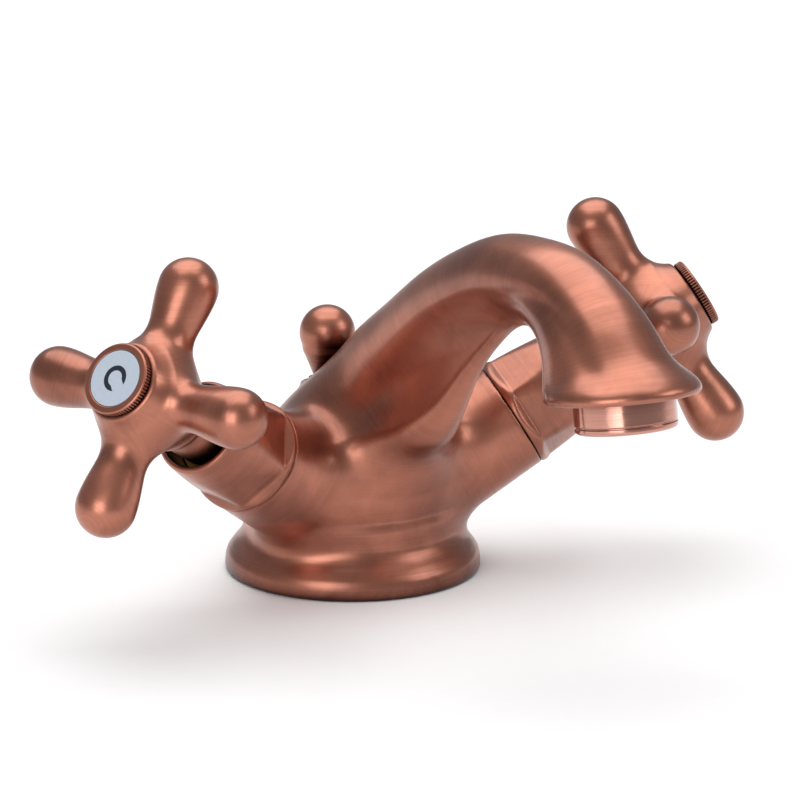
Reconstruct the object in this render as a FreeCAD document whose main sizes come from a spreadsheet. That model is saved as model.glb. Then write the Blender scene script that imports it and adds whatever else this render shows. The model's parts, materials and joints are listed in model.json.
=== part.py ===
import FreeCAD, Part
import math
import os
import re
import Sketcher
from FreeCAD import Placement, Rotation, Vector

# Two-handle basin mixer. Row frame: origin at the centre of the base's underside, +Z up,
# the spout reaches towards -Y, the cold valve is on -X and the hot valve on +X.
doc = FreeCAD.newDocument("BasinMixer")

# ---------------------------------------------------------------- driving dimensions (mm, degrees)
DIMENSIONS = [
    # casting
    ("baseRadius", 32.1, "foot of the bell base"),
    ("baseEdge", 2.6, "upright edge of the foot"),
    ("baseRound", 7.0, "shoulder round above the foot"),
    ("shoulderHeight", 7.6, "top of the shoulder round"),
    ("shoulderRadius", 29.7, "radius at the top of the shoulder"),
    ("waistRadius", 27.3, "narrowest place of the base"),
    ("waistHeight", 12.4, "height of the waist"),
    ("waistRound", 9.0, "hollow round of the waist"),
    ("bellyRadius", 25.5, "belly above the waist"),
    ("bellyHeight", 24.0, "where the belly starts to close"),
    ("bellyRound", 26.0, "crown round of the belly"),
    ("bellyTop", 48.0, "top of the belly"),
    ("cavityRadius", 23.0, "hollow underside"),
    ("cavityDepth", 9.0, "depth of the hollow underside"),
    ("gasketOuter", 30.0, "base gasket, outer radius"),
    ("gasketInner", 26.0, "base gasket, inner radius"),
    ("gasketDepth", 2.0, "base gasket thickness and groove depth"),
    ("inletRadius", 4.6, "tapped inlet M10x1, thread core"),
    ("inletDepth", 9.0, "tapped length of an inlet"),
    ("inletAlong", 17.0, "valve-axis station that the inlet meets"),
    ("studRadius", 3.4, "tapped hole for the M8 fixing stud, core"),
    ("studReach", 14.5, "fixing stud ahead of the centre"),
    ("studDepth", 14.0, "tapped length for the stud"),
    # spout
    ("spoutReach", 120.3, "centre of the outlet ahead of the centre"),
    ("outletHeight", 71.0, "height of the outlet lip at its centre"),
    ("crestHeight", 91.5, "spout centre line at its highest"),
    ("spoutRadius", 9.6, "round of the spout tube"),
    ("lipRadius", 18.0, "flared lip of the spout"),
    ("lipTilt", 10.0, "outlet axis, forward of straight down"),
    ("lipBand", 2.2, "upright band of the lip"),
    ("waterRadius", 5.0, "waterway through the spout"),
    # valves
    ("valveRise", 31.55, "valve axis above the horizontal"),
    ("valveTurn", 20.4, "valve axis forward of the side"),
    ("valveRoot", 12.4, "height where both valve axes meet"),
    ("armRoot", 19.5, "side arm radius at the body"),
    ("armRootAlong", 12.0, "station of the arm root"),
    ("seamRadius", 13.6, "arm end and housing foot"),
    ("seamAlong", 47.6, "station of the arm's end face"),
    ("seatAlong", 31.0, "station of the valve seat"),
    ("chamberRadius", 9.7, "water chamber round the cartridge"),
    ("threadRadius", 10.4, "cartridge thread in the casting"),
    ("threadLength", 8.0, "length of that thread"),
    ("portRadius", 3.6, "drilled water ports"),
    ("mixingReach", 10.8, "mixing chamber ahead of the centre"),
    ("mixingHeight", 42.0, "mixing chamber above the underside"),
    ("mixingRadius", 6.0, "mixing chamber"),
    ("portStep", 4.0, "outlet port above the seat"),
    # valve housing
    ("mouthAlong", 70.0, "station of the housing's mouth"),
    ("mouthOuter", 11.3, "housing mouth, outside"),
    ("mouthInner", 10.1, "housing mouth, inside"),
    ("housingBulge", 13.9, "widest place of the housing"),
    ("bulgeRise", 1.6, "widest place above the seam"),
    ("mouthEdge", 0.5, "edge of the housing's mouth"),
    ("mouthTaper", 5.0, "start of the housing's end taper"),
    ("housingFlats", 24.8, "across the six flats of the housing"),
    ("coldFlatsTurn", -8.0, "screwed-home cold housing about its axis"),
    ("hotFlatsTurn", 23.0, "screwed-home hot housing about its axis"),
    ("housingBoreTop", 57.0, "station where the bore over the cartridge ends"),
    # cartridge
    ("flangeRadius", 10.8, "cartridge flange"),
    ("flangeThick", 2.0, "cartridge flange thickness"),
    ("noseRadius", 9.0, "cartridge nose below its thread"),
    ("noseBore", 7.7, "bore for the ceramic discs"),
    ("windowWidth", 6.3, "water window in the cartridge nose"),
    ("windowHeight", 4.2, "height of that window"),
    ("sealThick", 2.0, "rubber seal under the cartridge"),
    ("sealBore", 4.65, "waterway through that seal"),
    ("threadRelief", 0.4, "cartridge thread short of its hole"),
    ("discThick", 2.6, "one ceramic disc"),
    ("discRadius", 7.5, "ceramic disc radius"),
    ("discPort", 6.0, "outer radius of a disc's ports"),
    ("discCore", 1.2, "solid middle of a disc"),
    ("portSweep", 80.0, "angle of one disc port"),
    ("hexAcross", 17.0, "cartridge hexagon across flats"),
    ("hexTop", 56.0, "station of the hexagon's top"),
    ("collarRadius", 9.9, "collar that the housing screws on"),
    ("collarTop", 61.5, "station of the collar's top"),
    ("barrelRadius", 6.1, "upper barrel of the cartridge"),
    ("barrelTop", 74.0, "station of the barrel's top"),
    ("spindleRadius", 4.0, "valve spindle"),
    ("spindleFoot", 7.2, "driving foot of the spindle"),
    ("footThick", 3.0, "driving foot thickness"),
    ("spindleTop", 88.0, "station of the spindle's end"),
    ("clipDepth", 0.6, "clip groove in the spindle"),
    ("clipThick", 0.75, "spindle clip thickness"),
    ("clipReach", 1.4, "spindle clip beyond the spindle"),
    ("splineCount", 20, "grooves round the spindle's end"),
    ("splineDepth", 0.36, "radius of one spline groove"),
    ("splineLength", 10.0, "splined length at the spindle's end"),
    ("sealStation", 66.0, "station of the spindle's O-ring"),
    ("cordRadius", 0.45, "section radius of an O-ring"),
    ("runFit", 0.05, "running clearance on a radius"),
    ("restFit", 0.05, "clearance between parts that stay still"),
    ("openGap", 0.5, "gap left free between parts that move apart"),
    # handle
    ("handleAlong", 91.1, "station of the four arms"),
    ("armLength", 28.0, "centre of an arm's ball end"),
    ("ballRadius", 7.3, "ball end of an arm"),
    ("neckRadius", 5.9, "thin place of an arm"),
    ("neckReach", 15.5, "thin place from the handle's axis"),
    ("armFoot", 7.4, "arm radius at the hub's axis"),
    ("hubRadius", 10.2, "hub at the arms"),
    ("hubFlat", 3.5, "half the hub's straight height"),
    ("hubFront", 9.3, "hub rim under the index cap"),
    ("hubTop", 11.0, "hub rim ahead of the arms"),
    ("hubBack", 9.0, "hub back behind the arms"),
    ("skirtRadius", 8.2, "skirt that enters the housing"),
    ("skirtBore", 6.9, "skirt bore"),
    ("skirtEnd", 26.0, "skirt end behind the arms"),
    ("screwSeat", 1.2, "screw seat ahead of the arms"),
    ("capThread", 6.4, "cap thread in the hub"),
    ("screwRadius", 2.5, "handle screw M5"),
    ("screwHead", 4.4, "handle screw head"),
    ("screwHeadThick", 2.8, "handle screw head height"),
    ("screwLength", 12.0, "handle screw shank"),
    ("keyAcross", 4.0, "hexagon socket of the screw, across flats"),
    ("keyDepth", 1.8, "depth of that socket"),
    ("coldRoll", -1.2, "closed cold handle about its axis"),
    ("hotRoll", -12.5, "closed hot handle about its axis"),
    # index cap
    ("capRadius", 8.9, "index cap rim"),
    ("capEdge", 2.4, "knurled edge of the cap"),
    ("capBevel", 0.4, "bevel of the cap's rim"),
    ("capStem", 4.5, "threaded stem of the cap"),
    ("discDepth", 0.1, "index disc below the cap's rim"),
    ("indexRadius", 6.95, "index disc"),
    ("indexThick", 0.9, "index disc thickness"),
    ("ridgeDepth", 0.45, "depth of the knurl"),
    ("ridgeWidth", 0.34, "half width of a knurl groove"),
    ("ridgeCount", 72, "grooves round the cap"),
    ("markHeight", 6.4, "height of the index letter"),
    ("markWidth", 5.2, "width of the index letter"),
    ("markStroke", 1.25, "stroke of the index letter"),
    ("markGap", 3.2, "opening of the letter C"),
    ("coldMarkTurn", -49.5, "way that the C opens, about the handle's axis"),
    ("markThick", 0.35, "depth of the filled letter"),
    # aerator
    ("collarOuter", 11.9, "visible collar of the aerator"),
    ("collarDrop", 7.4, "collar below the lip"),
    ("collarBevel", 0.5, "bevel of the collar's lower rim"),
    ("aeratorThread", 11.3, "aerator thread, outside"),
    ("aeratorBore", 9.6, "aerator housing bore"),
    ("aeratorLip", 8.8, "inward lip that holds the screen"),
    ("lipThick", 1.0, "inward lip thickness"),
    ("threadRise", 4.0, "aerator thread inside the spout"),
    ("washerThick", 1.5, "aerator washer"),
    ("washerInner", 7.6, "aerator washer, inner radius"),
    ("screenThick", 0.8, "outlet screen"),
    ("screenPitch", 2.44, "spacing of the screen's rings of holes"),
    ("screenHole", 0.85, "one hole of the screen"),
    ("insertLength", 9.0, "aerator insert"),
    ("vaneThick", 1.2, "wall of the aerator insert"),
    ("insertPitch", 2.26, "spacing of the insert's rings of holes"),
    ("insertHole", 0.6, "one hole of the insert"),
    ("sieveRings", 3, "rings of holes round the middle one"),
    # lift rod
    ("rodBack", 12.1, "lift rod behind the centre"),
    ("rodRadius", 2.5, "lift rod"),
    ("rodFoot", 2.0, "lift rod's end above the underside"),
    ("bossRadius", 6.3, "guide boss on the casting"),
    ("bossTop", 45.0, "top of the guide boss"),
    ("bushRadius", 3.6, "guide bush"),
    ("bushFlange", 4.8, "guide bush flange"),
    ("bushDepth", 9.0, "guide bush in the casting"),
    ("bushRim", 1.2, "guide bush flange thickness"),
    ("spotDepth", 14.0, "room milled above the guide boss"),
    ("knobHeight", 57.9, "centre of the knob's ball"),
    ("knobRadius", 7.0, "knob's ball"),
    ("knobNeck", 3.2, "knob's foot radius"),
    ("neckFlat", 2.5, "straight part of the knob's foot"),
    ("socketTop", 4.0, "rod's end below the knob's centre"),
]

sheet = doc.addObject("Spreadsheet::Sheet", "Dims")
for row, (alias, value, note) in enumerate(DIMENSIONS, 1):
    sheet.set("A%d" % row, note)
    sheet.set("B%d" % row, str(value))
    sheet.setAlias("B%d" % row, alias)
doc.recompute()


def size(alias):
    return float(sheet.get(alias))


# ---------------------------------------------------------------- ways of making a piece
def named(text):
    """An expression whose plain words are cells of the sheet."""
    return re.sub("[A-Za-z]+", lambda word: "Dims." + word.group(), text)


def originItem(body, role):
    return [item for item in body.Origin.OriginFeatures if item.Role == role][0]


def outline(body, name, plane, corners):
    """Closed sketch. A corner is (across, up), or (across, up, radius cell, side) when the edge
    that arrives there is an arc; side 1 bows it to the left of the way travelled, -1 to the right."""
    sketch = body.newObject("Sketcher::SketchObject", name)
    sketch.AttachmentSupport = (originItem(body, plane), [""])
    sketch.MapMode = "FlatFace"
    for index, corner in enumerate(corners):
        turn = 2 * math.pi * index / len(corners)
        sketch.addGeometry(Part.Point(Vector(math.cos(turn), math.sin(turn), 0)), True)
        for kind, where in (("DistanceX", corner[0]), ("DistanceY", corner[1])):
            number = sketch.addConstraint(Sketcher.Constraint(kind, -1, 1, index, 1, 1.0))
            sketch.setExpression("Constraints[%d]" % number, named(where))
    sketch.recompute()
    spots = [Vector(point.X, point.Y, 0) for point in sketch.Geometry]
    for index, corner in enumerate(corners):
        start, end = spots[index - 1], spots[index]
        if len(corner) == 2:
            edge = Part.LineSegment(start, end)
        else:
            radius = size(corner[2])
            half = start.distanceToPoint(end) / 2
            sideways = Vector(start.y - end.y, end.x - start.x, 0).normalize() * corner[3]
            bow = radius - math.sqrt(max(radius ** 2 - half ** 2, 0))
            middle = (start + end) / 2 + sideways * bow
            edge = Part.Arc(start, middle, end) if corner[3] < 0 else Part.Arc(end, middle, start)
        number = sketch.addGeometry(edge, False)
        forward = len(corner) == 2 or corner[3] < 0
        before = (index - 1) % len(corners)
        sketch.addConstraint(Sketcher.Constraint("Coincident", number, 1 if forward else 2, before, 1))
        sketch.addConstraint(Sketcher.Constraint("Coincident", number, 2 if forward else 1, index, 1))
        if len(corner) == 4:
            fixed = sketch.addConstraint(Sketcher.Constraint("Radius", number, radius))
            sketch.setExpression("Constraints[%d]" % fixed, "Dims." + corner[2])
    return sketch


def turned(label, corners):
    """A turned piece: an outline of (radius, station) revolved about Z."""
    body = doc.addObject("PartDesign::Body", label)
    sketch = outline(body, label + "_outline", "XZ_Plane", corners)
    turn = body.newObject("PartDesign::Revolution", label + "_turn")
    turn.Profile = sketch
    turn.ReferenceAxis = (sketch, ["V_Axis"])
    turn.Angle = 360
    return body


def solid(kind, label, **cells):
    """A Part primitive whose sizes are expressions of the sheet."""
    item = doc.addObject("Part::" + kind, label)
    for field, text in cells.items():
        item.setExpression(field, named(text))
    return item


def lifted(item, text):
    item.setExpression("Placement.Base.z", named(text))
    return item


def joined(label, pieces):
    item = doc.addObject("Part::MultiFuse", label)
    item.Shapes = pieces
    return item


def cut(label, base, tool):
    item = doc.addObject("Part::Cut", label)
    item.Base = base
    item.Tool = tool
    return item


def common(label, base, tool):
    item = doc.addObject("Part::Common", label)
    item.Base = base
    item.Tool = tool
    return item


def ring(label, radius):
    """An O-ring about Z."""
    return solid("Torus", label, Radius1=radius, Radius2="cordRadius")


def prism(label, across, bottom, top):
    """A hexagonal prism given across its flats."""
    item = doc.addObject("Part::Prism", label)
    item.Polygon = 6
    item.setExpression("Circumradius", named(across) + " / 2 / cos(30)")
    item.setExpression("Height", named(top + " - " + bottom))
    return lifted(item, bottom)


nodes = []


def node(item, name, placement=None):
    """The finished piece, under the name that its file takes."""
    item.Label = name
    if placement is not None:
        item.Placement = placement
    nodes.append(item)
    return item


# ---------------------------------------------------------------- frames of the valves and the outlet
def valveFrame(side, roll=0.0):
    """Frame of one valve: Z runs outwards along the valve's axis, X is level. side 1 is hot."""
    rise = math.radians(size("valveRise"))
    turn = math.radians(size("valveTurn"))
    along = Vector(side * math.cos(rise) * math.cos(turn), -math.cos(rise) * math.sin(turn), math.sin(rise))
    level = Vector(0, 0, 1).cross(along).normalize()
    frame = Placement(Vector(0, 0, size("valveRoot")), Rotation(level, along.cross(level), along, "ZXY"))
    return frame * Placement(Vector(0, 0, 0), Rotation(Vector(0, 0, 1), roll))


outletFrame = Placement(
    Vector(0, -size("spoutReach"), size("outletHeight")),
    Rotation(Vector(1, 0, 0), -size("lipTilt")),
)


# ---------------------------------------------------------------- the casting
def spoutSection(spot, lean, radius, keel, edge, share):
    """Points round the spout from its underside, over the crest and back. It is a circle on the
    crest side; share turns its underside into a web that ends in an edge of the given half width,
    keel below the tube's centre."""
    outward = Vector(0, math.cos(lean), math.sin(lean))
    ring = [(radius * math.sin(math.radians(turn)), radius * math.cos(math.radians(turn)))
            for turn in (0, 30, 60, 90, 115, 138, 160, 180)]
    web = ring[:4] + [
        (0.92 * radius, -0.42 * radius),
        (0.30 * radius + 0.7 * edge, -0.45 * radius - 0.35 * keel),
        (edge, edge - keel),
        (0, -keel),
    ]
    flank = [(a[0] * (1 - share) + b[0] * share, a[1] * (1 - share) + b[1] * share)
             for a, b in zip(ring, web)]
    around = [(-x, y) for x, y in flank[:0:-1]] + flank
    return [spot + Vector(x, 0, 0) + outward * y for x, y in around]


def spoutStations():
    """Centre, lean of the section, radius, keel depth, edge and share of web along the spout."""
    reach = size("spoutReach")
    low = size("outletHeight")
    crest = size("crestHeight")
    rise = crest - low
    tube = size("spoutRadius")
    flare = size("lipRadius") - tube
    table = (
        (0.000, crest - 2.95 * rise, 12, 1.80, 30, 6.0, 0.0),
        (0.065, crest - 2.15 * rise, 25, 1.40, 26, 4.5, 0.4),
        (0.150, crest - 1.60 * rise, 36, 1.14, 25, 2.6, 0.9),
        (0.247, crest - 1.17 * rise, 44, 1.02, 23, 2.0, 1.0),
        (0.374, crest - 0.66 * rise, 51, 0.98, 19.5, 1.8, 1.0),
        (0.480, crest - 0.33 * rise, 58, 0.98, 16.0, 2.2, 1.0),
        (0.590, crest - 0.08 * rise, 74, 0.98, 12.8, 3.5, 0.8),
        (0.680, crest, 90, 1.00, 11.0, 6.0, 0.4),
    )
    for along, height, lean, swell, keel, edge, share in table:
        yield Vector(0, -along * reach, height), math.radians(lean), swell * tube, keel, edge, share
    for along, drop, lean, swell in ((0.775, 0.03, 108, 0.07), (0.850, 0.20, 125, 0.19),
                                     (0.914, 0.49, 143, 0.43), (0.956, 0.77, 157, 0.69)):
        spot = Vector(0, -along * reach, crest - drop * rise)
        yield spot, math.radians(lean), tube + swell * flare, 1, 1, 0
    tilt = math.radians(180 - size("lipTilt"))
    band = size("lipBand")
    outward = Vector(0, math.sin(math.radians(size("lipTilt"))), math.cos(math.radians(size("lipTilt"))))
    lip = Vector(0, -reach, low)
    yield lip + outward * band, tilt, tube + flare * 0.97, 1, 1, 0
    yield lip, tilt, tube + flare, 1, 1, 0


def spoutSolid():
    """The spout's skin through its sections, closed by a flat face at each end."""
    skin = Part.BSplineSurface()
    skin.interpolate([spoutSection(*station) for station in spoutStations()])
    face = skin.toShape()
    first, last = skin.bounds()[:2]
    ends = [Part.Face(Part.Wire(skin.uIso(place).toShape())) for place in (first, last)]
    shell = Part.Shell([face] + ends)
    shell.sewShape()
    closed = Part.Solid(shell)
    return closed if closed.Volume > 0 else closed.reversed()


spout = doc.addObject("Part::Feature", "spout_casting")
spout.Shape = spoutSolid()

base = turned("base_casting", [
    ("0", "0"),
    ("baseRadius", "0"),
    ("baseRadius", "baseEdge"),
    ("shoulderRadius", "shoulderHeight", "baseRound", -1),
    ("waistRadius", "waistHeight", "waistRound", 1),
    ("bellyRadius", "bellyHeight"),
    ("0", "bellyTop", "bellyRound", -1),
])


def armOf(side, name):
    arm = solid("Cone", name, Radius1="armRoot", Radius2="seamRadius", Height="seamAlong - armRootAlong")
    arm.Placement = valveFrame(side) * Placement(Vector(0, 0, size("armRootAlong")), Rotation())
    return arm


boss = solid("Cylinder", "rod_boss", Radius="bossRadius", Height="bossTop - waistHeight")
boss.setExpression("Placement.Base.y", named("rodBack"))
boss.setExpression("Placement.Base.z", named("waistHeight"))

raw = joined("raw_casting", [base, armOf(-1, "cold_arm"), armOf(1, "hot_arm"), spout, boss])


def drilled(start, end, radius):
    """A drilled hole from start to end."""
    way = end - start
    return Part.makeCylinder(radius, way.Length, start, way)


def depthOf(alias):
    return Vector(0, 0, size(alias))


def axisPoint(side, station):
    return valveFrame(side).multVec(Vector(0, 0, station))


def waterways():
    """Everything that is drilled or cored out of the casting, as one solid."""
    cavity = Part.makeCylinder(size("cavityRadius"), size("cavityDepth"))
    groove = Part.makeCylinder(size("gasketOuter"), size("gasketDepth"))
    groove = groove.cut(Part.makeCylinder(size("gasketInner"), size("gasketDepth")))
    stud = Vector(0, -size("studReach"), 0)
    rod = Vector(0, size("rodBack"), 0)
    top = Vector(0, 0, size("bossTop"))
    mixing = Vector(0, -size("mixingReach"), size("mixingHeight"))
    holes = [
        groove,
        drilled(stud, stud + Vector(0, 0, size("cavityDepth") + size("studDepth")), size("studRadius")),
        drilled(rod, rod + top, size("rodRadius") + 2 * size("restFit")),
        drilled(rod + top - depthOf("bushDepth"), rod + top, size("bushRadius") + size("restFit")),
        drilled(rod + top, rod + top + depthOf("spotDepth"), size("bushFlange") + size("openGap")),
        Part.makeSphere(size("mixingRadius"), mixing),
    ]
    for side in (-1, 1):
        frame = valveFrame(side)
        seat = size("seatAlong")
        chamber = Part.makeCylinder(size("chamberRadius"), size("seamAlong") - seat)
        chamber.translate(Vector(0, 0, seat))
        thread = Part.makeCylinder(size("threadRadius") + size("restFit"), size("threadLength"))
        thread.translate(Vector(0, 0, size("seamAlong") - size("threadLength")))
        for tool in (chamber, thread):
            tool.Placement = frame * tool.Placement
            holes.append(tool)
        inlet = axisPoint(side, size("inletAlong"))
        foot = Vector(inlet.x, inlet.y, 0)
        holes.append(drilled(inlet, axisPoint(side, seat), size("portRadius")))
        holes.append(Part.makeSphere(size("portRadius"), inlet))
        holes.append(drilled(foot, inlet, size("portRadius")))
        tapped = Vector(0, 0, size("cavityDepth") + size("inletDepth"))
        holes.append(drilled(foot, foot + tapped, size("inletRadius")))
        holes.append(drilled(axisPoint(side, seat + size("portStep")), mixing, size("portRadius")))
    course = [station[0] for station in spoutStations()][3:10:2]
    depth = size("threadRise") + size("washerThick")
    outlet = outletFrame.multVec(Vector(0, 0, depth))
    path = Part.BSplineCurve()
    path.interpolate([mixing] + course + [outlet])
    rail = Part.Wire(path.toShape())
    start = path.tangent(path.FirstParameter)[0]
    mouth = Part.Wire(Part.makeCircle(size("waterRadius"), mixing, start))
    holes.append(rail.makePipeShell([mouth], True, True))
    socket = Part.makeCylinder(size("aeratorThread") + size("restFit"), depth)
    socket.Placement = outletFrame
    holes.append(socket)
    return cavity.fuse(holes)


cores = doc.addObject("Part::Feature", "waterways")
cores.Shape = waterways()
node(cut("casting", raw, cores), "body")

# soft gasket between the base and the basin
node(turned("gasket", [
    ("gasketInner + restFit", "0"),
    ("gasketOuter - restFit", "0"),
    ("gasketOuter - restFit", "gasketDepth"),
    ("gasketInner + restFit", "gasketDepth"),
]), "base_gasket")


# ---------------------------------------------------------------- one valve: housing and cartridge
def valve(side, name):
    frame = valveFrame(side)
    sealRoom = "flangeRadius + cordRadius * 2 + restFit * 2"
    shell = turned(name + "_shell", [
        (sealRoom, "seamAlong"),
        ("seamRadius", "seamAlong"),
        ("housingBulge", "seamAlong + bulgeRise"),
        ("mouthOuter + mouthEdge", "mouthAlong - mouthTaper"),
        ("mouthOuter", "mouthAlong - mouthEdge"),
        ("mouthOuter - mouthEdge", "mouthAlong"),
        ("mouthInner", "mouthAlong"),
        ("mouthInner", "collarTop + openGap"),
        ("collarRadius + restFit", "collarTop + openGap"),
        ("collarRadius + restFit", "housingBoreTop"),
        (sealRoom, "housingBoreTop"),
    ])
    flats = prism(name + "_flats", "housingFlats", "seamAlong", "mouthAlong")
    screwed = Placement(Vector(0, 0, 0), Rotation(Vector(0, 0, 1), size(name + "FlatsTurn")))
    node(common(name + "_shaped", shell, flats), name + "_valve_housing", frame * screwed)

    sealCentre = "flangeRadius + cordRadius + restFit"
    node(ring(name + "_housing_ring", sealCentre), name + "_housing_seal",
         frame * Placement(Vector(0, 0, size("seamAlong") + size("cordRadius")), Rotation()))

    nose = turned(name + "_nose", [
        ("noseBore", "seatAlong + sealThick"),
        ("noseRadius", "seatAlong + sealThick"),
        ("noseRadius", "seamAlong - threadLength + threadRelief"),
        ("threadRadius", "seamAlong - threadLength + threadRelief"),
        ("threadRadius", "seamAlong"),
        ("flangeRadius", "seamAlong"),
        ("flangeRadius", "seamAlong + flangeThick"),
        ("hexAcross / 2", "seamAlong + flangeThick"),
        ("hexAcross / 2", "hexTop"),
        ("collarRadius", "hexTop + 1"),
        ("collarRadius", "collarTop"),
        ("barrelRadius", "collarTop"),
        ("barrelRadius", "barrelTop"),
        ("spindleRadius + runFit", "barrelTop"),
        ("spindleRadius + runFit", "seatAlong + sealThick + discThick * 2 + footThick + openGap"),
        ("noseBore", "seatAlong + sealThick + discThick * 2 + footThick + openGap"),
    ])
    hexagon = prism(name + "_hex", "hexAcross", "seamAlong", "hexTop")
    drill = solid("Cylinder", name + "_hex_drill", Radius="noseBore", Height="hexTop - seamAlong")
    lifted(drill, "seamAlong")
    nut = cut(name + "_hex_ring", hexagon, drill)
    window = solid("Box", name + "_window", Length="noseRadius * 4", Width="windowWidth",
                   Height="windowHeight")
    window.setExpression("Placement.Base.x", "-" + named("noseRadius * 2"))
    window.setExpression("Placement.Base.y", "-" + named("windowWidth / 2"))
    lifted(window, "seatAlong + sealThick + discThick * 1.2")
    headwork = cut(name + "_headwork", joined(name + "_nose_hex", [nose, nut]), window)
    node(headwork, name + "_cartridge", frame)

    node(turned(name + "_lip_seal", [
        ("sealBore", "seatAlong"),
        ("noseRadius - openGap / 2", "seatAlong"),
        ("noseRadius - openGap / 2", "seatAlong + sealThick"),
        ("sealBore", "seatAlong + sealThick"),
    ]), name + "_seat_seal", frame)

    lower = "seatAlong + sealThick"
    upper = "seatAlong + sealThick + discThick"
    fixed = solid("Cylinder", name + "_fixed_blank", Radius="discRadius", Height="discThick")
    lifted(fixed, lower)
    node(cut(name + "_fixed_cut", fixed, ports(name + "_fixed", lower)), name + "_fixed_disc", frame)
    moving = solid("Cylinder", name + "_moving_blank", Radius="discRadius", Height="discThick")
    lifted(moving, upper)
    quarter = frame * Placement(Vector(0, 0, 0), Rotation(Vector(0, 0, 1), 90))
    node(cut(name + "_moving_cut", moving, ports(name + "_moving", upper)), name + "_moving_disc", quarter)

    station = "seatAlong + sealThick + discThick * 2"
    stem = turned(name + "_stem", [
        ("0", station),
        ("spindleFoot", station),
        ("spindleFoot", station + " + footThick"),
        ("spindleRadius", station + " + footThick"),
        ("spindleRadius", "sealStation - cordRadius"),
        ("spindleRadius - cordRadius * 2", "sealStation - cordRadius"),
        ("spindleRadius - cordRadius * 2", "sealStation + cordRadius"),
        ("spindleRadius", "sealStation + cordRadius"),
        ("spindleRadius", "barrelTop + restFit"),
        ("spindleRadius - clipDepth", "barrelTop + restFit"),
        ("spindleRadius - clipDepth", "barrelTop + clipThick + restFit * 3"),
        ("spindleRadius", "barrelTop + clipThick + restFit * 3"),
        ("spindleRadius", "spindleTop"),
        ("screwRadius + restFit", "spindleTop"),
        ("screwRadius + restFit", "spindleTop - screwLength"),
        ("0", "spindleTop - screwLength"),
    ])
    node(splined(stem, name), name + "_spindle", frame)
    sealSeat = "spindleRadius - cordRadius"
    node(ring(name + "_stem_ring", sealSeat), name + "_spindle_seal",
         frame * Placement(Vector(0, 0, size("sealStation")), Rotation()))
    clip = turned(name + "_clip_ring", [
        ("spindleRadius - clipDepth + restFit", "barrelTop + restFit * 2"),
        ("spindleRadius + clipReach", "barrelTop + restFit * 2"),
        ("spindleRadius + clipReach", "barrelTop + clipThick + restFit * 2"),
        ("spindleRadius - clipDepth + restFit", "barrelTop + clipThick + restFit * 2"),
    ])
    gap = solid("Box", name + "_clip_gap", Length="spindleRadius * 2", Width="spindleRadius",
                Height="clipThick + openGap * 2")
    gap.setExpression("Placement.Base.y", "-" + named("spindleRadius / 2"))
    lifted(gap, "barrelTop - openGap / 2")
    node(cut(name + "_clip_cut", clip, gap), name + "_spindle_clip", frame)


def ports(name, bottom):
    """Two opposite quarter openings of a ceramic disc."""
    parts = []
    for number in (0, 1):
        quarter = solid("Cylinder", "%s_port%d" % (name, number), Radius="discPort", Height="discThick")
        quarter.setExpression("Angle", named("portSweep"))
        start = 45 - size("portSweep") / 2
        quarter.Placement.Rotation = Rotation(Vector(0, 0, 1), start + 180 * number)
        parts.append(lifted(quarter, bottom))
    core = solid("Cylinder", name + "_core", Radius="discCore", Height="discThick")
    return cut(name + "_ports", joined(name + "_openings", parts), lifted(core, bottom))


def splined(stem, name):
    """The spindle with its splines cut as a ring of straight grooves."""
    teeth = int(size("splineCount"))
    grooves = []
    radius = size("spindleRadius")
    length = size("splineLength")
    for tooth in range(teeth):
        turn = 2 * math.pi * tooth / teeth
        spot = Vector(radius * math.cos(turn), radius * math.sin(turn), size("spindleTop") - length)
        grooves.append(Part.makeCylinder(size("splineDepth"), length, spot))
    tool = doc.addObject("Part::Feature", name + "_spline_tool")
    tool.Shape = Part.makeCompound(grooves)
    return cut(name + "_splined", stem, tool)


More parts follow.
